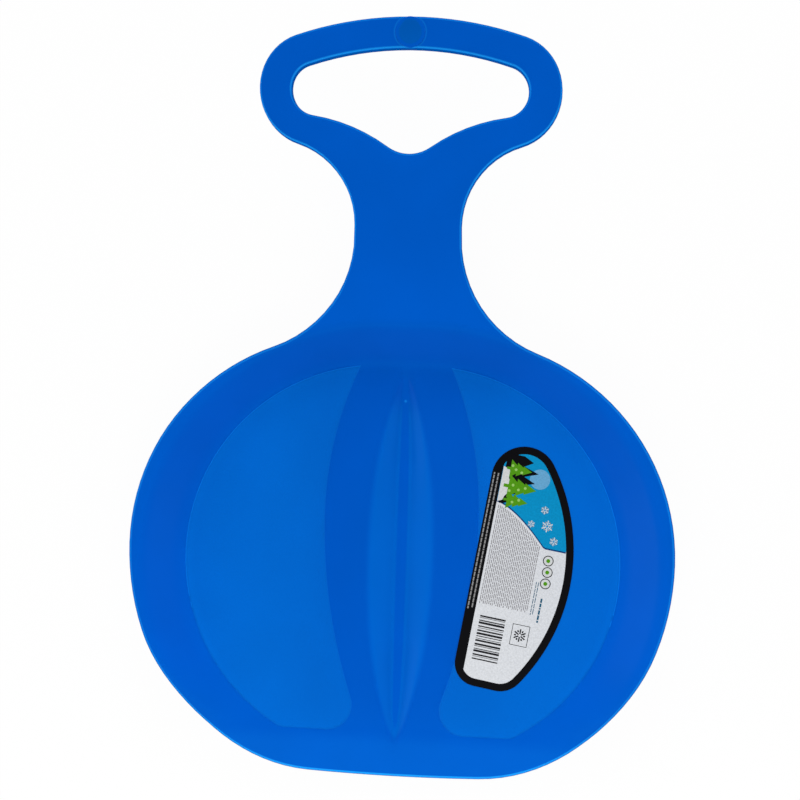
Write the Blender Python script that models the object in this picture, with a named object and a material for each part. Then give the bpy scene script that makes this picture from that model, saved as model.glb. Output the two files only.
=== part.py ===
"""Snow slider: a round moulded seat with a pressed runner, a raised neck and a loop handle, and its label.

Metres, +Z up, +Y from the seat to the handle, X across. The plan is drawn about the middle of the seat,
and the finished pieces are moved so that the origin is under the middle of the whole slider.
"""

import math

import bmesh
import bpy
from mathutils import Vector
from mathutils.geometry import delaunay_2d_cdt

# Seat outline, seen from above
SEAT_WIDTH = 0.3514
SEAT_REAR = 0.1481
SEAT_FRONT_ARC_OFFSET = 0.0359
SEAT_REAR_ARC_OFFSET = 0.0106
REAR_EDGE_RADIUS = 1.5
REAR_CORNER_RADIUS = 0.1088

# Neck and loop handle, seen from above
NECK_WIDTH = 0.069
NECK_STRAIGHT = 0.0056
NECK_SEAT_FILLET = 0.0785
NECK_HANDLE_FILLET = 0.0514
HANDLE_END_SPACING = 0.1224
HANDLE_END_RADIUS = 0.0337
HANDLE_CROWN = 0.0432

# Hand hole
HOLE_WIDTH = 0.1481
HOLE_END_RADIUS = 0.0153
HOLE_DEPTH = 0.0619
TOP_BAR = 0.0188
PALM_SHOULDER_RADIUS = 0.1126
PALM_VALLEY_RADIUS = 0.0237

# Moulding
WALL = 0.0024
EDGE_RADIUS = 0.0015
EDGE_FILLET = 0.0005
EDGE_LAND = 0.0037
EDGE_DEPTH = 0.005
EDGE_DRAFT = math.radians(3)

# Heights above the seat floor
RIM_HEIGHT = 0.0245
NECK_ROOT_HEIGHT = 0.0200
REAR_LIP_HEIGHT = 0.007
REAR_LIP_WIDTH = 0.0282
REAR_LIP_BEND = 0.004
NECK_SLOPE = math.radians(13.5)
NECK_BEND_SETBACK = 0.025
NECK_BEND_HALF_LENGTH = 0.020
SIDE_RISE_LENGTH = 0.090
FRONT_EASE_START = 0.065
FRONT_EASE_LENGTH = 0.080

# Seat panels and the dish wall round them
PANEL_ARC_OFFSET = 0.0146
PANEL_ARC_SETBACK = 0.0078
PANEL_MARGIN = 0.0321
PANEL_INNER_RADIUS = 0.3606
PANEL_FRONT_RADIUS = 0.2393
PANEL_INNER_GAP = 0.0508
PANEL_INNER_LEAD = 0.0225
PANEL_REAR_CUT = 0.0157
PANEL_CORNER_RADIUS = 0.0167
PANEL_RISE = 0.0005
PANEL_EDGE = 0.0006
PANEL_LAP = 0.006
RIM_FLANGE = 0.0025
DISH_FOOT = 0.40
DISH_BROW = 0.25

# Runner pressed down along the middle
RUNNER_DEPTH = 0.010
RUNNER_HALF_WIDTH = 0.022
RUNNER_HALF_LENGTH = 0.127
RUNNER_SETBACK = 0.006
RUNNER_CREST = 0.0035
RUNNER_SHOULDER = 0.0055
RUNNER_FADE = 1.35

# Round pad in the top bar
PAD_RADIUS = 0.0092
PAD_FOOT_RADIUS = 0.0072
PAD_RIM = 0.0024
PAD_DISH_DEPTH = 0.0005
PAD_PROUD = 0.0006
PAD_UNDER = 0.0036

# Label on the right-hand panel
LABEL_THICKNESS = 0.0003
LABEL_GAP = 0.0003
LABEL_ARC_CENTRE = (-0.0123, 0.0004)
LABEL_ARC_RADIUS = 0.1256
LABEL_HEAD = (0.0798, 0.0489)
LABEL_HEAD_RADIUS = 0.0215
LABEL_TAIL = (0.0678, -0.0733)
LABEL_TAIL_RADIUS = 0.0167
LABEL_HEEL = (0.0533, -0.0725)
LABEL_HEEL_RADIUS = 0.0150

# Spacing of points along the curves
OUTLINE_STEP = 0.008
DISH_STEP = 0.011
RUNNER_STEP = 0.010
BEND_STEP = 0.0145
LEAST_STEP = 0.0022
SLOPE_STEP = 0.0002
MOST_TURN = math.radians(7)
EDGE_TURNS = 3
PAD_SIDES = 40

HALF_WIDTH = SEAT_WIDTH / 2
PANEL_RADIUS = HALF_WIDTH - PANEL_ARC_OFFSET - PANEL_MARGIN
DISH_FOOT_RADIUS = PANEL_RADIUS - PANEL_LAP
DISH_BROW_RADIUS = HALF_WIDTH - PANEL_ARC_OFFSET - RIM_FLANGE
DISH_WALL_WIDTH = DISH_BROW_RADIUS - DISH_FOOT_RADIUS
FLOOR = RUNNER_DEPTH + WALL


def direction(start, end):
    """Angle of the line from one point to another."""
    return math.atan2(end[1] - start[1], end[0] - start[0])


def circles_meet(centre_a, radius_a, centre_b, radius_b, pick):
    """The point at given distances from two centres, chosen by the key function."""
    span = math.dist(centre_a, centre_b)
    along = (radius_a**2 - radius_b**2 + span**2) / (2 * span)
    aside = math.sqrt(max(radius_a**2 - along**2, 0))
    ux = (centre_b[0] - centre_a[0]) / span
    uy = (centre_b[1] - centre_a[1]) / span
    foot = (centre_a[0] + along * ux, centre_a[1] + along * uy)
    both = [(foot[0] - s * aside * uy, foot[1] + s * aside * ux) for s in (1, -1)]
    return max(both, key=pick)


def arc_points(arc, inset):
    """Points along one arc, moved into the plastic by inset. The last point is left to the next arc."""
    centre, radius, start, end, outward = arc
    length = abs(end - start) * radius
    count = max(1, round(length / OUTLINE_STEP), math.ceil(abs(end - start) / MOST_TURN))
    size = radius - outward * inset
    angles = [start + (end - start) * i / count for i in range(count)]
    return [(centre[0] + size * math.cos(a), centre[1] + size * math.sin(a)) for a in angles]


def chain_points(arcs, inset):
    """Points along a chain of tangent arcs, ends included."""
    points = [point for arc in arcs for point in arc_points(arc, inset)]
    centre, radius, _, end, outward = arcs[-1]
    size = radius - outward * inset
    return points + [(centre[0] + size * math.cos(end), centre[1] + size * math.sin(end))]


def outline_arcs():
    """Right half of the slider's outline, from the middle of the rear edge to the top of the handle."""
    rear_centre = (0, REAR_EDGE_RADIUS - SEAT_REAR)
    rear_side = (SEAT_REAR_ARC_OFFSET, 0)
    rear_radius = HALF_WIDTH - SEAT_REAR_ARC_OFFSET
    corner = circles_meet(
        rear_centre,
        REAR_EDGE_RADIUS - REAR_CORNER_RADIUS,
        rear_side,
        rear_radius - REAR_CORNER_RADIUS,
        lambda point: point[0],
    )
    front_side = (SEAT_FRONT_ARC_OFFSET, 0)
    front_radius = HALF_WIDTH - SEAT_FRONT_ARC_OFFSET
    lower = (NECK_WIDTH / 2 + NECK_SEAT_FILLET, neck_start())
    upper = (NECK_WIDTH / 2 + NECK_HANDLE_FILLET, neck_start() + NECK_STRAIGHT)
    end = handle_end()
    crown_radius = crown(HANDLE_CROWN, HANDLE_END_RADIUS, end[0])
    crown_centre = (0, end[1] + HANDLE_CROWN - crown_radius)
    turn = direction(rear_centre, corner)
    swing = direction(rear_side, corner)
    rise = direction(front_side, lower)
    reach = direction(upper, end)
    top = direction(crown_centre, end)
    return [
        (rear_centre, REAR_EDGE_RADIUS, -math.pi / 2, turn, 1),
        (corner, REAR_CORNER_RADIUS, turn, swing, 1),
        (rear_side, rear_radius, swing, 0, 1),
        (front_side, front_radius, 0, rise, 1),
        (lower, NECK_SEAT_FILLET, rise + math.pi, math.pi, -1),
        (upper, NECK_HANDLE_FILLET, math.pi, reach, -1),
        (end, HANDLE_END_RADIUS, reach - math.pi, top, 1),
        (crown_centre, crown_radius, top, math.pi / 2, 1),
    ]


def neck_start():
    """Where the neck becomes parallel, measured from the middle of the seat."""
    reach = HALF_WIDTH - SEAT_FRONT_ARC_OFFSET + NECK_SEAT_FILLET
    across = NECK_WIDTH / 2 + NECK_SEAT_FILLET - SEAT_FRONT_ARC_OFFSET
    return math.sqrt(reach**2 - across**2)


def handle_end():
    """Centre of the handle's round right-hand end."""
    reach = NECK_HANDLE_FILLET + HANDLE_END_RADIUS
    across = NECK_WIDTH / 2 + NECK_HANDLE_FILLET - HANDLE_END_SPACING / 2
    return (HANDLE_END_SPACING / 2, neck_start() + NECK_STRAIGHT + math.sqrt(reach**2 - across**2))


def crown(height, end_radius, end_x):
    """Radius of the arc over the middle that rises by height above the end circles and is tangent to them."""
    return (end_x**2 + height**2 - end_radius**2) / (2 * (height - end_radius))


def handle_top():
    return handle_end()[1] + HANDLE_CROWN


def hole_arcs():
    """Right half of the hand hole, from its highest middle point round to its lowest."""
    end = (HOLE_WIDTH / 2 - HOLE_END_RADIUS, handle_end()[1])
    top = handle_top() - TOP_BAR
    crown_radius = crown(top - end[1], HOLE_END_RADIUS, end[0])
    crown_centre = (0, top - crown_radius)
    valley = (0, top - HOLE_DEPTH + PALM_VALLEY_RADIUS)
    shoulder = circles_meet(
        end,
        HOLE_END_RADIUS + PALM_SHOULDER_RADIUS,
        valley,
        PALM_VALLEY_RADIUS + PALM_SHOULDER_RADIUS,
        lambda point: -point[1],
    )
    start = direction(crown_centre, end)
    down = direction(end, shoulder)
    foot = direction(valley, shoulder)
    return [
        (crown_centre, crown_radius, math.pi / 2, start, -1),
        (end, HOLE_END_RADIUS, start, down, -1),
        (shoulder, PALM_SHOULDER_RADIUS, down + math.pi, foot + math.pi, 1),
        (valley, PALM_VALLEY_RADIUS, foot, -math.pi / 2, -1),
    ]


def step(value):
    """Smooth rise from 0 to 1."""
    value = min(max(value, 0), 1)
    return value * value * (3 - 2 * value)


def ramp(value, half):
    """Zero, then the value itself, with a round bend of this half length between."""
    if value <= -half:
        return 0.0
    if value >= half:
        return value
    return (value + half) ** 2 / (4 * half)


def dish_profile(share):
    """Height of the dish wall, from 0 at its foot to 1 at its brow."""
    share = min(max(share, 0), 1)
    slope = 1 / (1 - (DISH_FOOT + DISH_BROW) / 2)
    if share < DISH_FOOT:
        return slope * share**2 / (2 * DISH_FOOT)
    if share < 1 - DISH_BROW:
        return slope * (share - DISH_FOOT / 2)
    return 1 - slope * (1 - share) ** 2 / (2 * DISH_BROW)


def rim_height(y):
    """Height of the rim, the neck and the handle above the seat floor."""
    side = RIM_HEIGHT * step((y + SEAT_REAR) / SIDE_RISE_LENGTH)
    ease = (RIM_HEIGHT - NECK_ROOT_HEIGHT) * step((y - FRONT_EASE_START) / FRONT_EASE_LENGTH)
    bend = neck_start() - NECK_BEND_SETBACK
    return side - ease + math.tan(NECK_SLOPE) * ramp(y - bend, NECK_BEND_HALF_LENGTH)


def rear_lip(y):
    """Rise of the straight lip along the rear of the seat."""
    return REAR_LIP_HEIGHT / REAR_LIP_WIDTH * ramp(REAR_LIP_WIDTH - SEAT_REAR - y, REAR_LIP_BEND)


def dish_distance(x, y):
    """Distance from the short line across the seat on which the dish and the panels are centred."""
    return math.hypot(max(abs(x) - PANEL_ARC_OFFSET, 0), y + PANEL_ARC_SETBACK)


def runner_share(y):
    """Width of the leaf-shaped runner at this place, as a share of its greatest."""
    place = (y + RUNNER_SETBACK) / RUNNER_HALF_LENGTH
    return max(1 - place * place, 0)


def runner_crest(y):
    """Half width of the runner's flat crest."""
    place = (y + RUNNER_SETBACK) / RUNNER_HALF_LENGTH
    return RUNNER_CREST * max(1 - place**6, 0)


def runner_drop(x, y):
    """Depth of the runner below the seat floor."""
    share = runner_share(y)
    if share <= 0:
        return 0.0
    depth = RUNNER_DEPTH * min(1, RUNNER_FADE * share)
    side = (RUNNER_HALF_WIDTH - RUNNER_CREST) * share
    crest = runner_crest(y)
    if abs(x) <= crest:
        return depth
    return depth * ramp(side - (abs(x) - crest), RUNNER_SHOULDER * share) / side


def height(x, y):
    """Upper surface of the slider."""
    wall = (dish_distance(x, y) - DISH_FOOT_RADIUS) / DISH_WALL_WIDTH
    return FLOOR + rim_height(y) * dish_profile(wall) + rear_lip(y) - runner_drop(x, y)


def panel_outline(inset):
    """Closed outline of the right-hand seat panel, a crescent with one sharp corner in front."""
    outer_centre = (PANEL_ARC_OFFSET, -PANEL_ARC_SETBACK)
    outer_radius = PANEL_RADIUS - inset
    inner_centre = (PANEL_INNER_GAP - PANEL_INNER_RADIUS, PANEL_INNER_LEAD)
    inner_radius = PANEL_INNER_RADIUS + inset
    rear = inset + PANEL_REAR_CUT - PANEL_RADIUS - PANEL_ARC_SETBACK
    front_centre = (PANEL_INNER_GAP - PANEL_FRONT_RADIUS, PANEL_INNER_LEAD)
    front_radius = PANEL_FRONT_RADIUS + inset
    tip = circles_meet(front_centre, front_radius, outer_centre, outer_radius, lambda point: point[1])
    fillet = PANEL_CORNER_RADIUS - inset
    lift = rear + fillet
    inner_x = inner_centre[0] + math.sqrt((inner_radius + fillet) ** 2 - (lift - inner_centre[1]) ** 2)
    outer_x = outer_centre[0] + math.sqrt((outer_radius - fillet) ** 2 - (lift - outer_centre[1]) ** 2)
    inner_corner = (inner_x, lift)
    outer_corner = (outer_x, lift)
    leave = direction(outer_centre, outer_corner)
    enter = direction(inner_centre, inner_corner)
    arcs = [
        (outer_centre, outer_radius, direction(outer_centre, tip), leave, 1),
        (outer_corner, fillet, leave, -math.pi / 2, 1),
        (inner_corner, fillet, -math.pi / 2, enter - math.pi, 1),
        (inner_centre, inner_radius, enter, 0, 1),
        (front_centre, front_radius, 0, direction(front_centre, tip), 1),
    ]
    return [point for arc in arcs for point in arc_points(arc, 0)]


def inside(point, loop):
    """Whether a point is inside a closed outline."""
    x, y = point
    found = False
    for (ax, ay), (bx, by) in zip(loop, loop[1:] + loop[:1]):
        if (ay > y) != (by > y) and x < ax + (y - ay) * (bx - ax) / (by - ay):
            found = not found
    return found


def near(point, loop, gap):
    """Whether a point is closer than gap to one of these points."""
    return any(math.dist(point, other) < gap for other in loop)


def dish_lines():
    """Rows of points along the dish wall, where its height bends, from the front middle to the rear middle."""
    count = round(math.pi * (DISH_FOOT_RADIUS + DISH_BROW_RADIUS) / 2 / DISH_STEP)
    turns = [math.pi / 2 - math.pi * i / count for i in range(count + 1)]
    lines = []
    for share in (0, DISH_FOOT / 2, DISH_FOOT, 1 - DISH_BROW, 1 - DISH_BROW / 2, 1):
        radius = DISH_FOOT_RADIUS + share * DISH_WALL_WIDTH
        arc = [
            (PANEL_ARC_OFFSET + radius * math.cos(a), radius * math.sin(a) - PANEL_ARC_SETBACK) for a in turns
        ]
        lines.append([(0, arc[0][1])] + arc + [(0, arc[-1][1])])
    return lines


def runner_lines():
    """Rows of points along the runner: its middle, the edge of its crest and both ends of its shoulder."""
    side = RUNNER_HALF_WIDTH - RUNNER_CREST
    count = round(2 * RUNNER_HALF_LENGTH / RUNNER_STEP)
    stations = [RUNNER_HALF_LENGTH * (2 * i / count - 1) - RUNNER_SETBACK for i in range(count + 1)]
    rows = [[(0, y) for y in stations]]
    for offset in (0, side - RUNNER_SHOULDER, side, side + RUNNER_SHOULDER):
        rows.append([(runner_crest(y) + offset * runner_share(y), y) for y in stations])
    return rows


def bend_lines():
    """Rows of points across the neck where it bends upwards, and along the start of the rear lip."""
    neck = neck_start() - NECK_BEND_SETBACK
    places = [neck + NECK_BEND_HALF_LENGTH * share for share in (-1, -0.5, 0, 0.5, 1)]
    places += [REAR_LIP_WIDTH - SEAT_REAR + REAR_LIP_BEND * share for share in (-1, 1)]
    columns = range(round(HALF_WIDTH / 2 / BEND_STEP) + 1)
    return [[(BEND_STEP * i, y) for i in columns] for y in places]


def slope(here, before, after):
    """The gentler of the slopes on both sides of a point, so that a flat stays flat up to its edge."""
    return min(abs(here - before), abs(after - here)) / SLOPE_STEP


def wall_drop(x, y):
    """Thickness of the wall measured straight down, so that it stays even across a slope."""
    here = height(x, y)
    across = slope(here, height(x - SLOPE_STEP, y), height(x + SLOPE_STEP, y))
    along = slope(here, height(x, y - SLOPE_STEP), height(x, y + SLOPE_STEP))
    return WALL * math.sqrt(1 + across**2 + along**2)


def axis_line(points):
    """The same points with both ends moved exactly onto the middle of the slider."""
    return [(0, points[0][1])] + points[1:-1] + [(0, points[-1][1])]


def plan_points(border):
    """Points of the plan inside this border, with the panel outlines as edges."""
    loops = [panel_outline(lip) for lip in (0, PANEL_EDGE)]
    points = list(border)
    edges = [(i, (i + 1) % len(border)) for i in range(len(border))]
    for loop in loops:
        first = len(points)
        points += loop
        edges += [(first + i, first + (i + 1) % len(loop)) for i in range(len(loop))]
    for line in runner_lines() + dish_lines() + bend_lines():
        for x, y in line:
            if inside((max(x, 1e-6), y), border) and not near((x, y), points, LEAST_STEP):
                points.append((x, y))
    return points, edges


def add_seat(mesh, inset):
    """Both faces of the right half, up to the line where the edge starts to turn down."""
    border = axis_line(chain_points(outline_arcs(), inset)) + axis_line(chain_points(hole_arcs(), inset))
    points, edges = plan_points(border)
    made = delaunay_2d_cdt([Vector(point) for point in points], edges, [], 0, 1e-6)
    plateau = panel_outline(PANEL_EDGE / 2)
    upper = []
    lower = []
    for x, y in made[0]:
        x = 0.0 if abs(x) < 1e-7 else x
        rise = PANEL_RISE if inside((x, y), plateau) else 0.0
        upper.append(mesh.verts.new((x, y, height(x, y) + rise)))
        lower.append(mesh.verts.new((x, y, height(x, y) - wall_drop(x, y))))
    for face in made[2]:
        middle = sum((made[0][i] for i in face), Vector((0, 0))) / 3
        if inside(middle, border):
            mesh.faces.new([upper[i] for i in face])
            mesh.faces.new([lower[i] for i in reversed(face)])
    spare = [vert for vert in upper + lower if not vert.link_faces]
    bmesh.ops.delete(mesh, geom=spare, context="VERTS")


def edge_rows():
    """Inset and drop of each row of the turned-down edge: over the outside, then back up under it."""
    flare = math.tan(EDGE_DRAFT) * (EDGE_DEPTH - EDGE_RADIUS)
    inner = flare + WALL
    turns = [math.pi / 2 * i / EDGE_TURNS for i in range(EDGE_TURNS + 1)]
    over = [(flare + EDGE_RADIUS * (1 - math.sin(a)), EDGE_RADIUS * (1 - math.cos(a))) for a in turns]
    under = [(inner + EDGE_FILLET * (1 - math.sin(a)), WALL + EDGE_FILLET * (1 - math.cos(a))) for a in turns]
    return [(EDGE_LAND, 0)] + over + [(0, EDGE_DEPTH), (WALL, EDGE_DEPTH)] + under[::-1] + [(EDGE_LAND, WALL)]


def add_turned_edge(mesh, arcs):
    """Rolls the edge over along a chain of arcs and turns it down, with draft, as strips of faces."""
    rows = edge_rows()
    start = axis_line(chain_points(arcs, rows[0][0]))
    grid = []
    for inset, drop in rows:
        line = axis_line(chain_points(arcs, inset))
        grid.append([mesh.verts.new((x, y, height(x, y) - drop)) for x, y in line])
    for vert, place in zip(grid[-1], start):
        vert.co.z = height(*place) - wall_drop(*place)
    for above, below in zip(grid, grid[1:]):
        for i in range(len(above) - 1):
            mesh.faces.new((above[i], above[i + 1], below[i + 1], below[i]))


def turned(name, profile, sides):
    """Closed solid of revolution from a profile that starts and ends on the axis."""
    mesh = bmesh.new()
    verts = [mesh.verts.new((radius, 0, z)) for radius, z in profile]
    edges = [mesh.edges.new(pair) for pair in zip(verts, verts[1:])]
    bmesh.ops.spin(
        mesh, geom=verts + edges, axis=(0, 0, 1), cent=(0, 0, 0), steps=sides, angle=2 * math.pi, use_merge=True
    )
    bmesh.ops.remove_doubles(mesh, verts=mesh.verts, dist=1e-6)
    bmesh.ops.recalc_face_normals(mesh, faces=mesh.faces)
    return new_object(name, mesh)


def new_object(name, mesh):
    """A scene object that holds this mesh."""
    data = bpy.data.meshes.new(name)
    mesh.to_mesh(data)
    mesh.free()
    obj = bpy.data.objects.new(name, data)
    bpy.context.scene.collection.objects.link(obj)
    return obj


def plastic(name, colour, roughness):
    """Plain material with the piece's own colour and gloss."""
    material = bpy.data.materials.new(name)
    material.use_nodes = True
    shader = material.node_tree.nodes["Principled BSDF"]
    shader.inputs["Base Color"].default_value = (*colour, 1)
    shader.inputs["Roughness"].default_value = roughness
    return material


def slider_half():
    """Right half of the moulding, open only where it meets its mirror image."""
    mesh = bmesh.new()
    add_seat(mesh, edge_rows()[0][0])
    add_turned_edge(mesh, outline_arcs())
    add_turned_edge(mesh, hole_arcs())
    bmesh.ops.remove_doubles(mesh, verts=mesh.verts, dist=1e-6)
    bmesh.ops.recalc_face_normals(mesh, faces=mesh.faces)
    if mesh.calc_volume(signed=True) < 0:
        bmesh.ops.reverse_faces(mesh, faces=mesh.faces)
    return mesh


def handle_pad():
    """Round boss through the middle of the top bar, dished on top, square to the handle and narrower below."""
    dish = PAD_RADIUS - PAD_RIM
    top = [(dish * i / 4, PAD_PROUD - PAD_DISH_DEPTH * (1 - (i / 4) ** 2)) for i in range(5)]
    rim = [(PAD_RADIUS - PAD_PROUD / 2, PAD_PROUD), (PAD_RADIUS, PAD_PROUD / 2)]
    pad = turned("handle_pad", top + rim + [(PAD_FOOT_RADIUS, -PAD_UNDER), (0, -PAD_UNDER)], PAD_SIDES)
    y = handle_top() - TOP_BAR / 2
    pad.location = (0, y, height(0, y))
    pad.rotation_euler.x = NECK_SLOPE
    pad.hide_render = True
    pad.display_type = "WIRE"
    return pad


def slider_body(pad):
    """The moulding: one half, mirrored, and joined to its round pad."""
    body = new_object("slider_body", slider_half())
    mirror = body.modifiers.new("Mirror", "MIRROR")
    mirror.merge_threshold = 0.00001
    boss = body.modifiers.new("Pad", "BOOLEAN")
    boss.operation = "UNION"
    boss.object = pad
    body.data.materials.append(plastic("blue plastic", (0.002, 0.130, 0.600), 0.35))
    return body


def tangent_line(centre_a, radius_a, centre_b, radius_b):
    """Direction square to the line that touches two circles on their right-hand side, from a to b."""
    span = math.dist(centre_a, centre_b)
    return direction(centre_a, centre_b) - math.pi / 2 + math.asin((radius_a - radius_b) / span)


def label_arcs():
    """The label's outline: a wide head and a narrower foot between a long arc and a straight side."""
    head = direction(LABEL_ARC_CENTRE, LABEL_HEAD)
    tail = direction(LABEL_ARC_CENTRE, LABEL_TAIL)
    side = tangent_line(LABEL_HEAD, LABEL_HEAD_RADIUS, LABEL_HEEL, LABEL_HEEL_RADIUS)
    foot = tangent_line(LABEL_HEEL, LABEL_HEEL_RADIUS, LABEL_TAIL, LABEL_TAIL_RADIUS)
    return [
        (LABEL_ARC_CENTRE, LABEL_ARC_RADIUS, tail, head, 1),
        (LABEL_HEAD, LABEL_HEAD_RADIUS, head, side + 2 * math.pi, 1),
        (LABEL_HEEL, LABEL_HEEL_RADIUS, side, foot, 1),
        (LABEL_TAIL, LABEL_TAIL_RADIUS, foot, tail, 1),
    ]


def label():
    """The printed label, a thin sheet that lies on the right-hand panel."""
    mesh = bmesh.new()
    level = FLOOR + PANEL_RISE + LABEL_GAP
    outline = chain_points(label_arcs(), 0)[:-1]
    face = mesh.faces.new([mesh.verts.new((x, y, level)) for x, y in outline])
    made = bmesh.ops.extrude_face_region(mesh, geom=[face])
    top = [item for item in made["geom"] if isinstance(item, bmesh.types.BMVert)]
    bmesh.ops.translate(mesh, verts=top, vec=(0, 0, LABEL_THICKNESS))
    bmesh.ops.recalc_face_normals(mesh, faces=mesh.faces)
    sheet = new_object("label", mesh)
    sheet.data.materials.append(plastic("label", (0.75, 0.77, 0.78), 0.30))
    return sheet


def clear_scene():
    for obj in list(bpy.data.objects):
        bpy.data.objects.remove(obj, do_unlink=True)


def snow_slider():
    """Puts the pieces together, with the origin under the middle of the slider."""
    clear_scene()
    pad = handle_pad()
    slider = bpy.data.objects.new("snow_slider", None)
    bpy.context.scene.collection.objects.link(slider)
    for piece in (pad, slider_body(pad), label()):
        piece.parent = slider
    slider.location.y = (SEAT_REAR - handle_top()) / 2


snow_slider()
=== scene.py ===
import math

import bpy
import numpy as np
from mathutils import Euler, Matrix, Vector


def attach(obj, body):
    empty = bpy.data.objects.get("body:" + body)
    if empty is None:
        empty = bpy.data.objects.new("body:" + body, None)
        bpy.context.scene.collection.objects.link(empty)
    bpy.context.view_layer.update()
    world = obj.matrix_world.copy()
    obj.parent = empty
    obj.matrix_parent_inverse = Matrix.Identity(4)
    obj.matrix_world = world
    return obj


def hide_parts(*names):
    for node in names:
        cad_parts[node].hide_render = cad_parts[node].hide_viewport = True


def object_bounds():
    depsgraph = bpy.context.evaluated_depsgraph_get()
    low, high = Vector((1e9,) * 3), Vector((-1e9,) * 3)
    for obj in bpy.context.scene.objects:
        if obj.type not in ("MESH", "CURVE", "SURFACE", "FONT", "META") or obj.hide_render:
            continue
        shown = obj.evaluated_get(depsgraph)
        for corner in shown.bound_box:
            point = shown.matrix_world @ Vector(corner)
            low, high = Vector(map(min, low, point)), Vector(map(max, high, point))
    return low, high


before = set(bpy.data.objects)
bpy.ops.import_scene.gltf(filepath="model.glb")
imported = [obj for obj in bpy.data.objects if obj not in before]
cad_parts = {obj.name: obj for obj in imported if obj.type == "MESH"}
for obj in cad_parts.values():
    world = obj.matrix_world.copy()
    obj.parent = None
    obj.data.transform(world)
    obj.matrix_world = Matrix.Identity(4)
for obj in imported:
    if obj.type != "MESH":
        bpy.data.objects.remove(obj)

cad_box = [list(corner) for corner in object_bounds()]

# Slider body.
# One injection moulding in blue polyethylene, 2.4 mm thick: a dished seat with two finely textured panels, a
# runner pressed down along the middle, a raised neck and a loop handle, with its edge turned down all round.
FLOOR = 0.0124
SEAT_REAR = 0.1481
SEAT_MIDDLE = cad_box[0][1] + SEAT_REAR
SEAT_FRONT = 0.16
NECK_START = 0.20423
RIM_HEIGHT = 0.0245
NECK_ROOT_HEIGHT = 0.0200
REAR_LIP_HEIGHT = 0.007
REAR_LIP_WIDTH = 0.0282
REAR_LIP_BEND = 0.004
NECK_SLOPE = math.radians(13.5)
NECK_BEND_SETBACK = 0.025
NECK_BEND_HALF_LENGTH = 0.020
SIDE_RISE_LENGTH = 0.090
FRONT_EASE_START = 0.065
FRONT_EASE_LENGTH = 0.080
PANEL_ARC_OFFSET = 0.0146
PANEL_ARC_SETBACK = 0.0078
PANEL_RISE = 0.0005
DISH_FOOT_RADIUS = 0.1230
DISH_WALL_WIDTH = 0.0356
DISH_FOOT = 0.40
DISH_BROW = 0.25
RUNNER_DEPTH = 0.010
RUNNER_HALF_WIDTH = 0.022
RUNNER_HALF_LENGTH = 0.127
RUNNER_SETBACK = 0.006
RUNNER_CREST = 0.0035
RUNNER_SHOULDER = 0.0055
RUNNER_FADE = 1.35
EDGE_RADIUS = 0.0015
EDGE_DEPTH = 0.005
PAD_CENTRE = 0.32507
PAD_RADIUS = 0.0092
PAD_RING_RADIUS = 0.0098
PAD_DISH_RADIUS = 0.0072
GATE_PLACE = 0.0976
MERGE_DISTANCE = 0.00002
CUTS = 3
TOLERANCE = 0.00001
SHARP_ANGLE = math.radians(36)


def step(value):
    """Smooth rise from 0 to 1."""
    value = np.clip(value, 0, 1)
    return value * value * (3 - 2 * value)


def ramp(value, half):
    """Zero, then the value itself, with a round bend of this half length between."""
    return np.where(value >= half, value, np.clip(value + half, 0, None) ** 2 / (4 * half))


def dish_profile(share):
    """Height of the dish wall, from 0 at its foot to 1 at its brow."""
    share = np.clip(share, 0, 1)
    slope = 1 / (1 - (DISH_FOOT + DISH_BROW) / 2)
    foot = slope * share**2 / (2 * DISH_FOOT)
    wall = slope * (share - DISH_FOOT / 2)
    brow = 1 - slope * (1 - share) ** 2 / (2 * DISH_BROW)
    return np.where(share < DISH_FOOT, foot, np.where(share < 1 - DISH_BROW, wall, brow))


def rim_height(y):
    """Height of the rim, the neck and the handle above the seat floor."""
    side = RIM_HEIGHT * step((y + SEAT_REAR) / SIDE_RISE_LENGTH)
    ease = (RIM_HEIGHT - NECK_ROOT_HEIGHT) * step((y - FRONT_EASE_START) / FRONT_EASE_LENGTH)
    bend = NECK_START - NECK_BEND_SETBACK
    return side - ease + math.tan(NECK_SLOPE) * ramp(y - bend, NECK_BEND_HALF_LENGTH)


def runner_drop(x, y):
    """Depth of the runner below the seat floor."""
    place = (y + RUNNER_SETBACK) / RUNNER_HALF_LENGTH
    share = np.maximum(1 - place**2, 1e-6)
    depth = RUNNER_DEPTH * np.minimum(1, RUNNER_FADE * share) * (np.abs(place) < 1)
    side = (RUNNER_HALF_WIDTH - RUNNER_CREST) * share
    past = np.abs(x) - RUNNER_CREST * np.maximum(1 - place**6, 0)
    return depth * np.where(past <= 0, 1, ramp(side - past, RUNNER_SHOULDER * share) / side)


def height(x, y):
    """Upper surface of the slider, at places measured from the middle of the seat."""
    across = np.maximum(np.abs(x) - PANEL_ARC_OFFSET, 0)
    wall = (np.hypot(across, y + PANEL_ARC_SETBACK) - DISH_FOOT_RADIUS) / DISH_WALL_WIDTH
    lip = REAR_LIP_HEIGHT / REAR_LIP_WIDTH * ramp(REAR_LIP_WIDTH - SEAT_REAR - y, REAR_LIP_BEND)
    return FLOOR + rim_height(y) * dish_profile(wall) + lip - runner_drop(x, y)


# The solid's own faces are cut finer. What each point stands above or below the upper surface is carried
# along, and the points go back on the curved surface at that distance.
bpy.ops.object.select_all(action="DESELECT")
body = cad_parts["slider_body"].copy()
body.data = body.data.copy()
body.name = "moulded_slider"
bpy.context.scene.collection.objects.link(body)
body.select_set(True)
bpy.context.view_layer.objects.active = body
bpy.ops.object.transform_apply(location=True, rotation=True, scale=True)
bpy.ops.object.mode_set(mode="EDIT")
bpy.ops.mesh.select_all(action="SELECT")
bpy.ops.mesh.remove_doubles(threshold=MERGE_DISTANCE)
bpy.ops.object.mode_set(mode="OBJECT")

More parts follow.
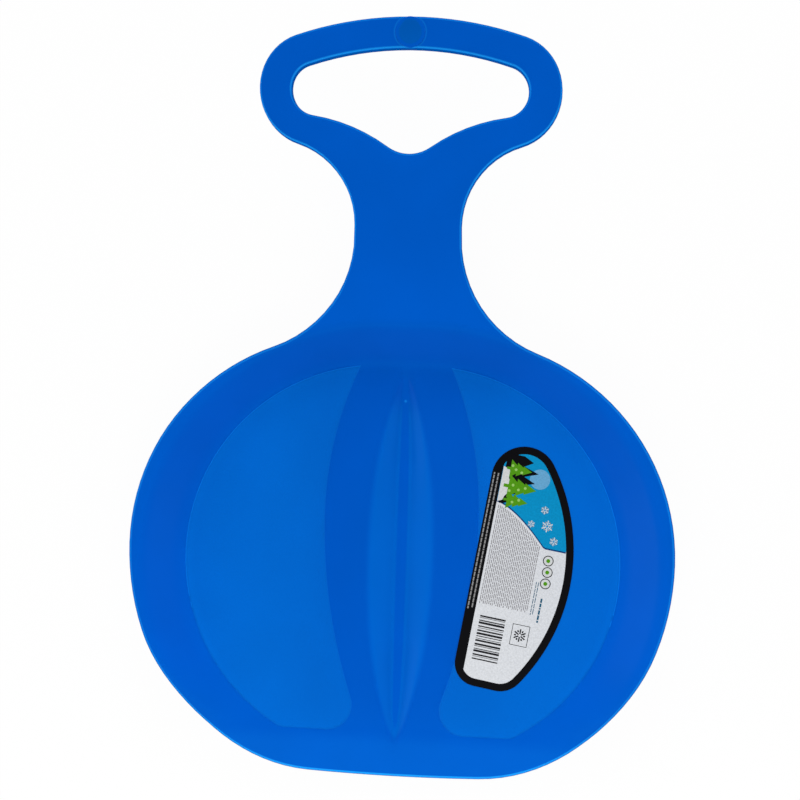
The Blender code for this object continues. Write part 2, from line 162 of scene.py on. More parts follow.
places = np.array([vertex.co for vertex in body.data.vertices])
rise = body.data.attributes.new("rise", "FLOAT", "POINT")
rise.data.foreach_set("value", places[:, 2] - height(places[:, 0], places[:, 1] - SEAT_MIDDLE))
bpy.ops.object.mode_set(mode="EDIT")
bpy.ops.mesh.select_all(action="SELECT")
bpy.ops.mesh.subdivide(number_cuts=CUTS)
bpy.ops.object.mode_set(mode="OBJECT")

places = np.array([vertex.co for vertex in body.data.vertices])
across = np.abs(places[:, 0])
ahead = places[:, 1] - SEAT_MIDDLE
rises = np.zeros(len(places))
body.data.attributes["rise"].data.foreach_get("value", rises)
body.data.attributes.remove(body.data.attributes["rise"])
places[:, 2] = np.maximum(height(places[:, 0], ahead) + rises, 0)
body.data.vertices.foreach_set("co", places.ravel())
bpy.ops.object.shade_smooth_by_angle(angle=SHARP_ANGLE)

# Masks for the plastic's colour are stored on the points. A painted highlight runs as a fine line along the
# turned edge, with painted shade on the wall beyond. The seat's rim has a broad line and the handle a narrow
# one that is strongest where the edge faces the rear. The GLOW numbers below set painted highlights and
# painted light, and the SHADE numbers set painted shade.
EDGE_FACING = -0.3
FLAT_FACING = 0.05
RIM_BLEND = 3
RIM_GLOW = 0.32
RIM_GLOW_ADDED_AT_REAR = 0.68
RIM_GLOW_DROP = 0.00036
RIM_GLOW_FADE = 0.00016
HANDLE_GLOW = 0.34
HANDLE_GLOW_FACING_REAR = 0.66
HANDLE_GLOW_FACING_FRONT = 0.18
RIM_SHADE_DROP = 0.0003
RIM_SHADE_FADE = 0.0003
HANDLE_SHADE_DROP = 0.00105
HANDLE_SHADE_FADE = 0.00075
LIP_GLOW = 0.06
LIP_GLOW_FADE = 0.010
PAD_FACING = 0.3
PAD_RISE = 0.00005
PAD_DARKENING = 0.55
# Reach of the painted shade between the panels.
HOLLOW_HALF_WIDTH = 0.088
HOLLOW_SIDE_FADE = 0.042
HOLLOW_FRONT = 0.145
HOLLOW_REAR = -0.135
HOLLOW_END_FADE = 0.04

pad_distance = np.hypot(places[:, 0], (ahead - PAD_CENTRE) / math.cos(NECK_SLOPE))
facing = np.array([normal.vector for normal in body.data.vertex_normals])
on_panel = (np.abs(rises - PANEL_RISE) < TOLERANCE) & (ahead < NECK_START)
on_ramp = (rises > TOLERANCE) & ~on_panel & (ahead < NECK_START)
on_edge = (facing[:, 2] > EDGE_FACING) & (pad_distance > PAD_RADIUS) & ~on_panel
on_pad = (facing[:, 2] > PAD_FACING) & (rises > PAD_RISE) & (pad_distance < PAD_DISH_RADIUS)
drop = np.clip(-rises, 0, EDGE_DEPTH)
turned_down = on_edge & (drop > TOLERANCE)
beside = np.zeros(len(places), bool)
for face in body.data.polygons:
    if any(turned_down[i] for i in face.vertices):
        beside[list(face.vertices)] = True

rearwards = -facing[:, 1] / np.hypot(facing[:, 0], facing[:, 1]).clip(FLAT_FACING)
seat = ahead < SEAT_FRONT
rim = np.where(seat, 1, np.clip(0.5 - RIM_BLEND * rearwards, 0, 1))
turn_strength = np.where(rearwards > 0, HANDLE_GLOW_FACING_REAR, HANDLE_GLOW_FACING_FRONT)
roll = np.clip(drop / EDGE_RADIUS, 0, 1)
narrow = np.sin(math.pi * roll**0.5) ** 3 * (HANDLE_GLOW + turn_strength * rearwards)
back = np.where(seat, np.clip(-ahead / SEAT_REAR, 0, 1) ** 3, 0)
broad = beside * np.clip((RIM_GLOW_DROP - drop) / RIM_GLOW_FADE, 0, 1)
broad = broad * (RIM_GLOW + RIM_GLOW_ADDED_AT_REAR * back)
# Painted highlight along the turned edge: the rim's broad line and the handle's narrow one.
painted_highlight = on_edge * ((1 - rim) * narrow + rim * broad)
# Painted light over the rear lip, paler towards the rear edge.
lip = LIP_GLOW * step((REAR_LIP_WIDTH - SEAT_REAR - ahead) / LIP_GLOW_FADE)
painted_highlight = np.maximum(painted_highlight, on_edge * lip * (drop < RIM_SHADE_DROP))
# Painted shade on the turned edge's outer wall, past the highlight; the pad's top is only given a darker
# tone.
shade_drop = np.where(rim > 0.5, RIM_SHADE_DROP, HANDLE_SHADE_DROP)
shade_fade = np.where(rim > 0.5, RIM_SHADE_FADE, HANDLE_SHADE_FADE)
wall_shade_and_pad_darkening = np.maximum(on_edge * step((drop - shade_drop) / shade_fade), PAD_DARKENING * on_pad)
# Painted shade: the band between the panels, around the runner, is darkened.
hollow_painted_shade = step((HOLLOW_HALF_WIDTH - across) / HOLLOW_SIDE_FADE)
hollow_painted_shade = hollow_painted_shade * step((HOLLOW_FRONT - ahead) / HOLLOW_END_FADE)
hollow_painted_shade = hollow_painted_shade * step((ahead - HOLLOW_REAR) / HOLLOW_END_FADE)
for name, values in (("painted_edge_highlight", painted_highlight), ("painted_wall_shade_and_pad_darkening", wall_shade_and_pad_darkening), ("hollow_shade", hollow_painted_shade)):
    mask = body.data.attributes.new(name, "FLOAT", "POINT")
    mask.data.foreach_set("value", values.astype(np.float32))

# The blue plastic is glossy, with a fine grain on the panels, and its marks are one node group. Paler blues
# are mixed in as painted highlights and painted light, and for the light ring and dot. Darker ones are mixed
# in as painted shade and as the pad's darker top. A grain has its size and depth, and a round mark its
# place, radius, line width and strength.
GLOSSY_BLUE = (0.0002, 0.097, 0.555)
TEXTURED_BLUE = (0.0007, 0.129, 0.595)
EDGE_BLUE = (0.0003, 0.096, 0.55)
PANEL_EDGE_HIGHLIGHT_BLUE = (0.003, 0.190, 0.75)
FLANK_PAINTED_LIGHT_BLUE = (0.0004, 0.124, 0.585)
WALL_SHADE_AND_PAD_BLUE = (0.0010, 0.100, 0.40)
PAINTED_HIGHLIGHT_AND_MARK_BLUE = (0.012, 0.34, 0.96)
SHEEN_BLUE = (0, 0.4, 1)
HOLLOW_SHADE_TINT = (1, 0.905, 0.93)
SMOOTH_GRAIN = (160, 0.00002)
PANEL_GRAIN = (1100, 0.0002)
FLOW_SCALE = 22
FLOW_TONES = (0.97, 1.03)
NOISE_RANGE = (0.3, 0.7)
PAD_RING = (PAD_CENTRE, PAD_RING_RADIUS, 0.0008, 0.2)
GATE_MARK = (GATE_PLACE, 0, 0.0013, 0.45)
MARK_CORE = 0.3
# Reach of the painted light on the runner's flanks.
FLANK_TOP = FLOOR - RUNNER_DEPTH / 5
FLANK_FLATTEST = 0.995
FLANK_STEEPEST = 0.95
FLANK_FRONT = 0.106
FLANK_FRONT_FADE = 0.022
FRONT_RAMP_FACING = 0.5
REAR_RAMP_FACING = -0.1
FLAT_BAR_REACH = 0.03
FLAT_BAR_TOLERANCE = 0.002


def feed(tree, socket, value):
    """Join a socket to another one, or set it to a number or a colour."""
    if isinstance(value, bpy.types.NodeSocket):
        tree.links.new(value, socket)
    else:
        socket.default_value = value


def worked_out(tree, operation, *values):
    """A sum over sockets or numbers."""
    node = tree.nodes.new("ShaderNodeMath")
    node.operation = operation
    for socket, value in zip(node.inputs, values):
        feed(tree, socket, value)
    return node.outputs["Value"]


def ranged(tree, value, start, end, low=0, high=1, shape="SMOOTHSTEP"):
    """A value carried from one range over to another."""
    node = tree.nodes.new("ShaderNodeMapRange")
    node.interpolation_type = shape
    limits = {"From Min": start, "From Max": end, "To Min": low, "To Max": high}
    for name, limit in limits.items():
        node.inputs[name].default_value = limit
    tree.links.new(value, node.inputs["Value"])
    return node.outputs["Result"]


def tinted(tree, share, under, over, way="MIX"):
    """A colour with another mixed in or multiplied over it, by a share."""
    node = tree.nodes.new("ShaderNodeMix")
    node.data_type = "RGBA"
    node.blend_type = way
    feed(tree, node.inputs["Factor"], share)
    feed(tree, node.inputs["A"], under)
    feed(tree, node.inputs["B"], over)
    return node.outputs["Result"]


def noise(tree, place, scale, detail):
    """Even noise over the piece."""
    node = tree.nodes.new("ShaderNodeTexNoise")
    tree.links.new(place, node.inputs["Vector"])
    feed(tree, node.inputs["Scale"], scale)
    node.inputs["Detail"].default_value = detail
    return node.outputs["Fac"]


def stored(tree, name):
    """A mask that is stored on the mesh."""
    node = tree.nodes.new("ShaderNodeAttribute")
    node.attribute_name = name
    return node.outputs["Fac"]


def axis_of(tree, vector, axis):
    """One axis of a vector."""
    node = tree.nodes.new("ShaderNodeSeparateXYZ")
    tree.links.new(vector, node.inputs["Vector"])
    return node.outputs[axis]


def round_mark(tree, place, ahead, radius, width, strength):
    """A light ring on the middle line of the moulding, or a dot where the radius is 0."""
    away = tree.nodes.new("ShaderNodeVectorMath")
    away.operation = "DISTANCE"
    away.inputs[1].default_value = (0, SEAT_MIDDLE + ahead, float(height(0, ahead)))
    tree.links.new(place, away.inputs[0])
    off = worked_out(tree, "ABSOLUTE", worked_out(tree, "SUBTRACT", away.outputs["Value"], radius))
    return ranged(tree, off, width, width * MARK_CORE, 0, strength, shape="LINEAR")


def moulding_marks():
    """Group of what changes over the moulding: tone, masks for its colours and for its painted highlights,
    light and shade, and grain as a normal.
    """
    group = bpy.data.node_groups.new("moulding_marks", "ShaderNodeTree")
    for name in ("Grain Size", "Grain Depth"):
        group.interface.new_socket(name, in_out="INPUT", socket_type="NodeSocketFloat")
    for name in ("Shade", "Painted Highlight And Marks", "Wall Shade And Pad Darkening", "Flank Painted Light", "Hollow Painted Shade"):
        group.interface.new_socket(name, in_out="OUTPUT", socket_type="NodeSocketFloat")
    group.interface.new_socket("Normal", in_out="OUTPUT", socket_type="NodeSocketVector")
    given = group.nodes.new("NodeGroupInput").outputs
    result = group.nodes.new("NodeGroupOutput").inputs
    place = group.nodes.new("ShaderNodeTexCoord").outputs["Object"]

    flow = noise(group, place, FLOW_SCALE, 3)
    tone = ranged(group, flow, *NOISE_RANGE, *FLOW_TONES, shape="LINEAR")
    group.links.new(tone, result["Shade"])
    bump = group.nodes.new("ShaderNodeBump")
    bump.inputs["Strength"].default_value = 1
    group.links.new(given["Grain Depth"], bump.inputs["Distance"])
    group.links.new(noise(group, place, given["Grain Size"], 2), bump.inputs["Height"])
    group.links.new(bump.outputs["Normal"], result["Normal"])

    # Painted highlight stored on the mesh, with the light ring round the pad and the gate dot on the middle
    # line.
    light = stored(group, "painted_edge_highlight")
    for mark in (PAD_RING, GATE_MARK):
        light = worked_out(group, "MAXIMUM", light, round_mark(group, place, *mark))
    group.links.new(light, result["Painted Highlight And Marks"])
    group.links.new(stored(group, "painted_wall_shade_and_pad_darkening"), result["Wall Shade And Pad Darkening"])

    # Painted light on the runner's flanks: low, sloping faces get a paler blue, fading out towards the
    # runner's front.
    normal = group.nodes.new("ShaderNodeNewGeometry").outputs["Normal"]
    low = ranged(group, axis_of(group, place, "Z"), FLOOR, FLANK_TOP)
    tilt = ranged(group, axis_of(group, normal, "Z"), FLANK_FLATTEST, FLANK_STEEPEST)
    front = SEAT_MIDDLE + FLANK_FRONT
    tip = ranged(group, axis_of(group, place, "Y"), front, front - FLANK_FRONT_FADE)
    flank_painted_light = worked_out(group, "MULTIPLY", worked_out(group, "MULTIPLY", low, tilt), tip)
    group.links.new(flank_painted_light, result["Flank Painted Light"])
    # Painted shade between the panels, kept off the runner.
    above_runner = worked_out(group, "SUBTRACT", 1, low)
    hollow_painted_shade = worked_out(group, "MULTIPLY", above_runner, stored(group, "hollow_shade"))
    group.links.new(hollow_painted_shade, result["Hollow Painted Shade"])
    return group


def blue_plastic(marks, name, colour, roughness, gloss, grain_size, grain_depth):
    """Dyed polyethylene, with painted shade between the panels, painted light on the runner's flanks, a
    painted highlight along the turned edge, painted shade on its wall, and a darker top on the pad.
    """
    material = bpy.data.materials.new(name)
    material.use_nodes = True
    tree = material.node_tree
    shader = tree.nodes["Principled BSDF"].inputs
    shader["Roughness"].default_value = roughness
    shader["Specular IOR Level"].default_value = gloss
    shader["Specular Tint"].default_value = (*SHEEN_BLUE, 1)
    group = tree.nodes.new("ShaderNodeGroup")
    group.node_tree = marks
    group.inputs["Grain Size"].default_value = grain_size
    group.inputs["Grain Depth"].default_value = grain_depth
    mark = group.outputs
    blue = tinted(tree, mark["Hollow Painted Shade"], (*colour, 1), (*HOLLOW_SHADE_TINT, 1), way="MULTIPLY")
    blue = tinted(tree, mark["Flank Painted Light"], blue, (*FLANK_PAINTED_LIGHT_BLUE, 1))
    blue = tinted(tree, mark["Wall Shade And Pad Darkening"], blue, (*WALL_SHADE_AND_PAD_BLUE, 1))
    blue = tinted(tree, mark["Painted Highlight And Marks"], blue, (*PAINTED_HIGHLIGHT_AND_MARK_BLUE, 1))
    blue = tinted(tree, 1, blue, mark["Shade"], way="MULTIPLY")
    tree.links.new(blue, shader["Base Color"])
    tree.links.new(mark["Normal"], shader["Normal"])
    return material


# Each finish has its name, colour, roughness, gloss and grain.
marks = moulding_marks()
body.data.materials.clear()
for finish in (
    ("glossy_blue", GLOSSY_BLUE, 0.32, 0.1, *SMOOTH_GRAIN),
    ("textured_blue", TEXTURED_BLUE, 0.55, 0.14, *PANEL_GRAIN),
    ("edge_blue", EDGE_BLUE, 0.5, 0, *SMOOTH_GRAIN),
    ("panel_edge_blue", PANEL_EDGE_HIGHLIGHT_BLUE, 0.5, 0, *SMOOTH_GRAIN),
):
    body.data.materials.append(blue_plastic(marks, *finish))
slots = {material.name: i for i, material in enumerate(body.data.materials)}
# Faces of the panels' raised edge that face outward and forward get a paler copy of the blue, a painted
# highlight.
raised = on_panel | on_ramp
for face in body.data.polygons:
    corners = list(face.vertices)
    if on_panel[corners].all():
        face.material_index = slots["textured_blue"]
    elif raised[corners].any():
        outward = face.normal.x * face.center.x > 0 or face.normal.y > FRONT_RAMP_FACING
        lit = outward and face.normal.y > REAR_RAMP_FACING
        face.material_index = slots["panel_edge_blue" if lit else "textured_blue"]
    elif turned_down[corners].any():
        face.material_index = slots["edge_blue"]
    level = abs(face.normal.z - math.cos(NECK_SLOPE)) < FLAT_BAR_TOLERANCE
    if level and (pad_distance[corners] < FLAT_BAR_REACH).all():
        face.use_smooth = False
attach(body, "root")
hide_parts("slider_body")

# Label.
# A printed self-adhesive film on the right-hand panel: black border, pale field with ruled lines and bars,
# and a plain winter picture at its head. Each colour is a thin layer of print, and all are one piece.
LABEL_CLEARANCE = 0.00003
LABEL_LEVEL = FLOOR + PANEL_RISE + LABEL_CLEARANCE
FILM_THICKNESS = 0.00020
INK_THICKNESS = 0.000004
INK_STEP = 0.00001
INK_ROUGHNESS = 0.42
INK_GLOSS = 0.03
MOTTLE_SCALE = 900
MOTTLE_TONES = (0.88, 1.06)
LABEL_ARC_CENTRE = (-0.0123, 0.0004)
LABEL_ARC_RADIUS = 0.1256
LABEL_HEAD = (0.0798, 0.0489, 0.0215)
LABEL_TAIL = (0.0678, -0.0733, 0.0167)
LABEL_HEEL = (0.0533, -0.0725, 0.0150)
LABEL_START = (0.0586, 0.0524)
LABEL_TURN = math.radians(-9.32)
BORDER = 0.0049
BAND = 0.0066
PICTURE_REACH = 0.0165
PICTURE_REACH_ADDED = 0.0245
PICTURE_WIDTH = 0.036
PICTURE_CURVE = 1.5
PICTURE_EDGE = 0.0010
TEXT_MARGIN = 0.0025
WORD_GAP = 0.0005
SHORTEST_WORD = 0.4
ROW_SWAY = 3.7
PLACE_SWAY = 2900
THINNEST_BAR = 0.0003
BAR_SPREAD = 0.0011
NARROWEST_GAP = 0.0004
GAP_SPREAD = 0.0009
BUD_RADIUS = 0.0009
MEDAL_RADIUS = 0.0035
MEDAL_FIELD_RADIUS = 0.0029
MEDAL_HEART_RADIUS = 0.0013
FILM_BLACK = (0.0026, 0.0026, 0.0036)
PAPER_WHITE = (0.66, 0.68, 0.71)
RULE_GREY = (0.21, 0.205, 0.22)
BAR_BLACK = (0.015, 0.015, 0.018)
SKY_BLUE = (0.002, 0.26, 0.53)
NIGHT_BLUE = (0.003, 0.045, 0.17)
FROST_BLUE = (0.13, 0.37, 0.60)
LEAF_GREEN = (0.08, 0.29, 0.008)
SNOW_WHITE = (0.62, 0.64, 0.64)
BUD_GREEN = (0.30, 0.55, 0.14)
BAND_GREY = (0.26, 0.26, 0.26)
TEAL_BLUE = (0.018, 0.10, 0.17)


def arc(centre, radius, start, end, count=24):
    """Points along an arc between two angles, in radians."""
    angles = [start + (end - start) * i / count for i in range(count + 1)]
    return [(centre[0] + radius * math.cos(a), centre[1] + radius * math.sin(a)) for a in angles]


def heading(start, end):
    """Angle of the line from one point to another."""
    return math.atan2(end[1] - start[1], end[0] - start[0])


def touching(a, b):
    """Angle at which a straight side leaves circle a for circle b, on the side nearer the runner."""
    return heading(a, b) - math.pi / 2 + math.asin((a[2] - b[2]) / math.dist(a[:2], b[:2]))


def film_outline(inset, side):
    """The label's outline, moved in by inset, and by side on its straight side."""
    head = heading(LABEL_ARC_CENTRE, LABEL_HEAD)
    tail = heading(LABEL_ARC_CENTRE, LABEL_TAIL)
    left = touching(LABEL_HEAD, LABEL_HEEL)
    foot = touching(LABEL_HEEL, LABEL_TAIL)
    points = arc(LABEL_ARC_CENTRE, LABEL_ARC_RADIUS - inset, tail, head, 48)
    points += arc(LABEL_HEAD, LABEL_HEAD[2] - inset, head, left + 2 * math.pi, 36)
    points += arc(LABEL_HEEL, LABEL_HEEL[2] - inset, left, foot)
    points += arc(LABEL_TAIL, LABEL_TAIL[2] - inset, foot, tail)
    normal = (math.cos(left), math.sin(left))
    limit = LABEL_START[0] * normal[0] + LABEL_START[1] * normal[1] - side
    kept = []
    for x, y in points:
        past = max(x * normal[0] + y * normal[1] - limit, 0)
        kept.append((x - past * normal[0], y - past * normal[1]))
    return kept


def on_label(points):
    """Places measured along the label's straight side and away from it, as places on the seat."""
    cos, sin = math.cos(LABEL_TURN), math.sin(LABEL_TURN)
    return [(LABEL_START[0] + v * cos + u * sin, LABEL_START[1] + v * sin - u * cos) for u, v in points]


def ink(name, colour):
    """Satin print on film, a little uneven in tone."""
    material = bpy.data.materials.new(name)
    material.use_nodes = True
    tree = material.node_tree
    shader = tree.nodes["Principled BSDF"].inputs
    shader["Roughness"].default_value = INK_ROUGHNESS
    shader["Specular IOR Level"].default_value = INK_GLOSS
    place = tree.nodes.new("ShaderNodeTexCoord").outputs["Object"]
    tones = tree.nodes.new("ShaderNodeValToRGB")
    for stop, position, tone in zip(tones.color_ramp.elements, NOISE_RANGE, MOTTLE_TONES):
        stop.position = position
        stop.color = (*[tone * part for part in colour], 1)
    tree.links.new(noise(tree, place, MOTTLE_SCALE, 2), tones.inputs["Fac"])
    tree.links.new(tones.outputs["Color"], shader["Base Color"])
    return material


def printed(name, shapes, level, colour, thickness=INK_THICKNESS):
    """One colour of print: flat shapes filled as a curve, made a mesh and laid on the film."""
    bpy.ops.object.select_all(action="DESELECT")
    curve = bpy.data.curves.new(name, "CURVE")
    curve.dimensions = "2D"
    curve.fill_mode = "BOTH"
    curve.extrude = thickness / 2
    for shape in shapes:
        spline = curve.splines.new("POLY")
        spline.points.add(len(shape) - 1)
        spline.points.foreach_set("co", [value for x, y in shape for value in (x, y, 0, 1)])
        spline.use_cyclic_u = True
    layer = bpy.data.objects.new(name, curve)
    bpy.context.scene.collection.objects.link(layer)
    layer.select_set(True)
    bpy.context.view_layer.objects.active = layer
    bpy.ops.object.convert(target="MESH")
    layer.location = (0, SEAT_MIDDLE, LABEL_LEVEL + level + thickness / 2)
    bpy.ops.object.transform_apply(location=True)
    layer.data.materials.clear()
    layer.data.materials.append(ink(name, colour))
    return layer


def strip(u, v, length, width):
    """A straight printed line or bar, from its start along the label."""
    return on_label([(u, v), (u + length, v), (u + length, v + width), (u, v + width)])


def picture_end(v):
    """How far along the label the winter picture at its head reaches, this far from the straight side."""
    share = min(max(v - BAND, 0) / PICTURE_WIDTH, 1)
    return PICTURE_REACH + PICTURE_REACH_ADDED * share**PICTURE_CURVE


def inside_picture(outline, reach):
    """The part of an outline on the head's side of the picture's end, closed along that curve."""
    cos, sin = math.cos(LABEL_TURN), math.sin(LABEL_TURN)
    places = []
    for x, y in outline:
        dx, dy = x - LABEL_START[0], y - LABEL_START[1]
        places.append((dx * sin - dy * cos, dx * cos + dy * sin))
    start = max(range(len(places)), key=lambda i: places[i][0])
    places = places[start:] + places[:start]
    kept = [(u, v) for u, v in places if u < picture_end(v) + reach]
    far, near = kept[0][1], kept[-1][1]
    closing = [near + (far - near) * i / 30 for i in range(31)]
    return on_label(kept + [(picture_end(v) + reach, v) for v in closing])


def ruled_block(first, last, near, far, pitch, line, word):
    """Rows of short printed dashes of uneven length, as fine print looks from afar."""
    shapes = []
    for row in range(int((far - near) / pitch) + 1):
        v = near + row * pitch
        u = max(first, picture_end(v + line) + TEXT_MARGIN) if v > BAND else first
        while u < last - word * SHORTEST_WORD:
            sway = abs(math.sin(ROW_SWAY * row + PLACE_SWAY * u))
            length = min(word * (SHORTEST_WORD + sway), last - u)
            shapes.append(strip(u, v, length, line))
            u += length + WORD_GAP
    return shapes


def bar_block(first, near, count, length):
    """A row of plain bars of uneven width, evenly mixed."""
    shapes = []
    u = first
    for i in range(count):
        width = THINNEST_BAR + BAR_SPREAD * math.sin(2.3 * i + 1) ** 2
        shapes.append(strip(u, near, width, length))
        u += width + NARROWEST_GAP + GAP_SPREAD * math.sin(1.7 * i) ** 2
    return shapes


def disc(u, v, radius):
    """A round spot at a place on the label."""
    return on_label(arc((u, v), radius, 0, 2 * math.pi, 32)[:-1])


def bar(start, way, length, width):
    """A straight bar from a place on the label, at an angle to its long side."""
    ahead = (math.cos(way) * length, math.sin(way) * length)
    side = (-math.sin(way) * width / 2, math.cos(way) * width / 2)
    corners = [(start[0] + s * side[0], start[1] + s * side[1]) for s in (1, -1)]
    ends = [(x + ahead[0], y + ahead[1]) for x, y in reversed(corners)]
    return on_label(corners + ends)


def crystal(u, v, radius, line):
    """A snow crystal: six arms, each with two twigs that stand clear of it."""
    reach = radius * 0.55
    twig = radius * 0.32
    shapes = []
    for turn in range(6):
        angle = math.pi / 3 * turn
        cos, sin = math.cos(angle), math.sin(angle)
        shapes.append(bar((u + cos * line, v + sin * line), angle, radius - line, line))
        for lean in (1, -1):
            root = (u + cos * reach - lean * sin * line, v + sin * reach + lean * cos * line)
            shapes.append(bar(root, angle + lean * math.pi / 3, twig, line * 0.8))
    return shapes


def fir(u, v, size):
    """A fir tree of three tiers, upright across the label."""
    trunk_height = size * 0.14
    trunk_half = size * 0.05
    tier_height = size * 0.25
    right = [(trunk_half, v), (trunk_half, v + trunk_height)]
    for tier in range(3):
        foot = v + trunk_height + tier_height * tier
        half = size * (0.36 - 0.09 * tier)
        right += [(half, foot), (half * 0.45, foot + tier_height)]
    right[-1] = (0, v + size)
    left = [(-x, y) for x, y in reversed(right[:-1])]
    return on_label([(u + x, y) for x, y in right + left])


def skyline(first, last, low, high, tops):
    """A line of hills along the label, closed along its foot."""
    run = (last - first) / (len(tops) - 1)
    points = [(first + run * i, low + (high - low) * top) for i, top in enumerate(tops)]
    return on_label(points + [(last, low), (first, low)])


# The label's design, in places along its straight side and away from it.
field = film_outline(BORDER, BAND)
band = ruled_block(-0.0010, 0.0900, near=0.0012, far=0.0041, pitch=0.0026, line=0.0009, word=0.0020)
texts = ruled_block(0.0150, 0.0850, near=0.0082, far=0.0395, pitch=0.0012, line=0.0005, word=0.0026)
notes = ruled_block(0.0640, 0.0860, near=0.0420, far=0.0436, pitch=0.0014, line=0.0005, word=0.0026)
notes += ruled_block(0.0740, 0.0900, near=0.0470, far=0.0470, pitch=0.0014, line=0.0012, word=0.0022)
bars = bar_block(first=0.0925, near=0.0105, count=18, length=0.0170)
frame_of_square = strip(u=0.0935, v=0.0325, length=0.0140, width=0.0115)
square = strip(u=0.0939, v=0.0329, length=0.0132, width=0.0107)
moon = disc(u=-0.0020, v=0.0315, radius=0.0066)
tops = (0.5, 0.8, 0.55, 1.0, 0.6, 0.95, 0.45, 0.7, 0.3, 0.45, 0.1)
peaks = skyline(first=-0.0150, last=0.0180, low=0.0080, high=0.0300, tops=tops)
drifts = [math.sin(math.pi * i / 16) ** 0.4 * (0.8 + 0.2 * math.cos(0.7 * i)) for i in range(17)]
snow = [skyline(first=-0.0062, last=0.0172, low=BAND + 0.0002, high=0.0152, tops=drifts)]
for u, v, radius, line in (
    (0.0270, 0.0420, 0.0038, 0.0007),
    (0.0170, 0.0385, 0.0026, 0.0006),
    (0.0360, 0.0480, 0.0028, 0.0006),
    (0.0275, 0.0315, 0.0024, 0.0005),
):
    snow += crystal(u, v, radius, line)
firs = [fir(u=-0.0055, v=0.0090, size=0.0165), fir(u=0.0150, v=0.0105, size=0.0160)]
tall_fir = fir(u=0.0060, v=0.0090, size=0.0215)
buds = [(-0.0053, 0.0150), (-0.0075, 0.0125), (-0.0040, 0.0190), (0.0050, 0.0150), (0.0090, 0.0132)]
buds += [(0.0074, 0.0190), (0.0055, 0.0232), (0.0160, 0.0165), (0.0140, 0.0205)]
medals = [(0.0490, 0.0470), (0.0565, 0.0478), (0.0640, 0.0480)]
square_crystal = crystal(u=0.1005, v=0.0382, radius=0.0042, line=0.0009)

# Each layer of print has its shapes, its order up from the film, and its colour.
layers = [printed("label_black", [film_outline(0, 0)], 0, FILM_BLACK, FILM_THICKNESS)]
for name, shapes, order, colour in (
    ("label_band_print", band, 0, BAND_GREY),
    ("label_paper", [field], 0, PAPER_WHITE),
    ("label_night", [inside_picture(field, PICTURE_EDGE)], 1, NIGHT_BLUE),
    ("label_sky", [inside_picture(field, 0)], 2, SKY_BLUE),
    ("label_moon", [moon], 3, FROST_BLUE),
    ("label_peaks", [peaks], 4, FILM_BLACK),
    ("label_snow", snow, 5, SNOW_WHITE),
    ("label_firs", firs, 6, LEAF_GREEN),
    ("label_tall_fir", [tall_fir], 7, LEAF_GREEN),
    ("label_buds", [disc(*bud, BUD_RADIUS) for bud in buds], 8, BUD_GREEN),
    ("label_text", texts, 1, RULE_GREY),
    ("label_notes", notes, 1, TEAL_BLUE),
    ("label_bars", bars + [frame_of_square], 1, BAR_BLACK),
    ("label_square", [square], 2, PAPER_WHITE),
    ("label_medals", [disc(*medal, MEDAL_RADIUS) for medal in medals], 1, BAR_BLACK),
    ("label_medal_fields", [disc(*medal, MEDAL_FIELD_RADIUS) for medal in medals], 2, SNOW_WHITE),
    ("label_medal_hearts", [disc(*medal, MEDAL_HEART_RADIUS) for medal in medals], 3, LEAF_GREEN),
    ("label_crystal", square_crystal, 3, BAR_BLACK),
):
    layers.append(printed(name, shapes, FILM_THICKNESS + order * INK_STEP, colour))
bpy.ops.object.select_all(action="DESELECT")
for layer in layers:
    layer.select_set(True)
bpy.context.view_layer.objects.active = layers[0]
bpy.ops.object.join()
label = layers[0]
label.name = "printed_label"
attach(label, "root")
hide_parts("label")

# Floor and light.
# A white paper sweep under the slider, lit by a white room and four large soft lamps. The paper is clear
# from below, so that the underside can be looked at too.
SWEEP_SIZE = 6
SWEEP_DROP = 0.0005
SWEEP_WHITE = (0.9, 0.9, 0.9)
SWEEP_ROUGHNESS = 0.9
SWEEP_SEEN = 0.96
ROOM_LIGHT = 0.635
ROOM_SEEN = 0.985
WHITE = (1, 1, 1)


def seen_directly(tree):
    """1 for a ray from the camera, off gloss or through glass, and 0 for the others."""
    ray = tree.nodes.new("ShaderNodeLightPath").outputs
    seen = worked_out(tree, "MAXIMUM", ray["Is Camera Ray"], ray["Is Glossy Ray"])
    return worked_out(tree, "MAXIMUM", seen, ray["Is Transmission Ray"])


def layered(tree, share, under, over):
    """One shader over another, by a share."""
    node = tree.nodes.new("ShaderNodeMixShader")
    tree.links.new(share, node.inputs[0])
    tree.links.new(under, node.inputs[1])
    tree.links.new(over, node.inputs[2])
    return node.outputs[0]


def softbox(name, place, aim, size, power):
    """Rectangular lamp at one place that faces another."""
    data = bpy.data.lights.new(name, "AREA")
    data.shape = "RECTANGLE"
    data.size, data.size_y = size
    data.energy = power
    lamp = bpy.data.objects.new(name, data)
    lamp.location = place
    lamp.rotation_euler = (Vector(place) - Vector(aim)).to_track_quat("Z", "Y").to_euler()
    lamp.visible_camera = False
    bpy.context.scene.collection.objects.link(lamp)


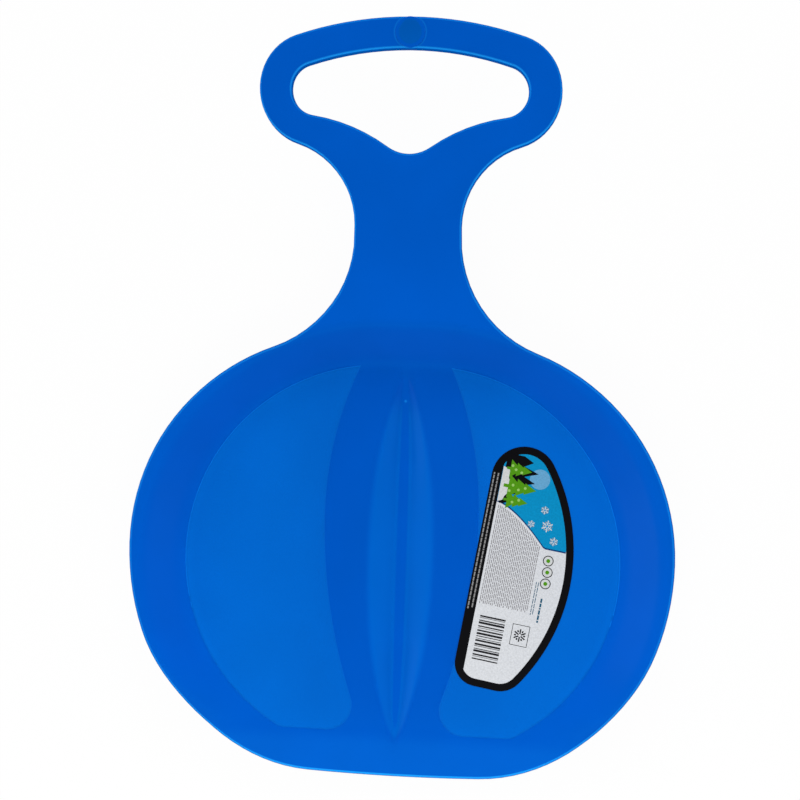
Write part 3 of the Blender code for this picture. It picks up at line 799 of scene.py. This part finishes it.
bpy.ops.object.select_all(action="DESELECT")
bpy.ops.mesh.primitive_plane_add(size=SWEEP_SIZE, location=(0, 0, -SWEEP_DROP))
floor = bpy.context.object
floor.name = "floor"
paper = bpy.data.materials.new("floor")
paper.use_nodes = True
tree = paper.node_tree
matt = tree.nodes["Principled BSDF"]
matt.inputs["Base Color"].default_value = (*SWEEP_WHITE, 1)
matt.inputs["Roughness"].default_value = SWEEP_ROUGHNESS
matt.inputs["Specular IOR Level"].default_value = 0
plain = tree.nodes.new("ShaderNodeEmission")
plain.inputs["Color"].default_value = (*WHITE, 1)
clear = tree.nodes.new("ShaderNodeBsdfTransparent")
share = worked_out(tree, "MULTIPLY", seen_directly(tree), SWEEP_SEEN)
sweep = layered(tree, share, matt.outputs[0], plain.outputs[0])
below = tree.nodes.new("ShaderNodeNewGeometry").outputs["Backfacing"]
sweep = layered(tree, below, sweep, clear.outputs[0])
tree.links.new(sweep, tree.nodes["Material Output"].inputs["Surface"])
floor.data.materials.append(paper)

room = bpy.data.worlds.new("studio")
bpy.context.scene.world = room
room.use_nodes = True
tree = room.node_tree
backdrop = tree.nodes["Background"].inputs
backdrop["Color"].default_value = (*WHITE, 1)
strength = ranged(tree, seen_directly(tree), 0, 1, ROOM_LIGHT, ROOM_SEEN, shape="LINEAR")
tree.links.new(strength, backdrop["Strength"])

softbox("far_box", place=(0, 1.9, 1.0), aim=(0, 0, 0), size=(1.2, 0.8), power=17.8)
softbox("rear_box", place=(0, -0.6, 0.7), aim=(0, -0.6, 0), size=(0.7, 0.3), power=2.8)
softbox("left_strip", place=(-2.2, -0.3, 0.32), aim=(0, 0, 0), size=(1.8, 0.6), power=9.6)
softbox("right_strip", place=(2.2, -0.3, 0.32), aim=(0, 0, 0), size=(1.8, 0.6), power=8.5)

# Camera.
# It stands 0.8 m from its aim, which lies at the level of the seat's rim, and looks almost straight down, a
# little from the right. A pixel covers 0.64 mm at that level.
CAMERA_DISTANCE = 0.800
PIXEL_SIZE = 0.00064
PIXELS = 800
SENSOR_WIDTH = 36
CAMERA_TURN = (0.16, 4.72, 1.87)
AIM_RIGHT = -0.00143
AIM_AHEAD = 0.09821
turn = Euler([math.radians(angle) for angle in CAMERA_TURN], "ZYX").to_matrix()
aim = Vector((AIM_RIGHT, SEAT_MIDDLE + AIM_AHEAD, FLOOR + RIM_HEIGHT))
data = bpy.data.cameras.new("camera")
data.sensor_width = SENSOR_WIDTH
data.lens = SENSOR_WIDTH * CAMERA_DISTANCE / (PIXEL_SIZE * PIXELS)
camera = bpy.data.objects.new("camera", data)
camera.matrix_world = Matrix.Translation(aim + turn @ Vector((0, 0, CAMERA_DISTANCE))) @ turn.to_4x4()
bpy.context.scene.collection.objects.link(camera)
bpy.context.scene.camera = camera
bpy.context.scene.view_settings.view_transform = "Standard"
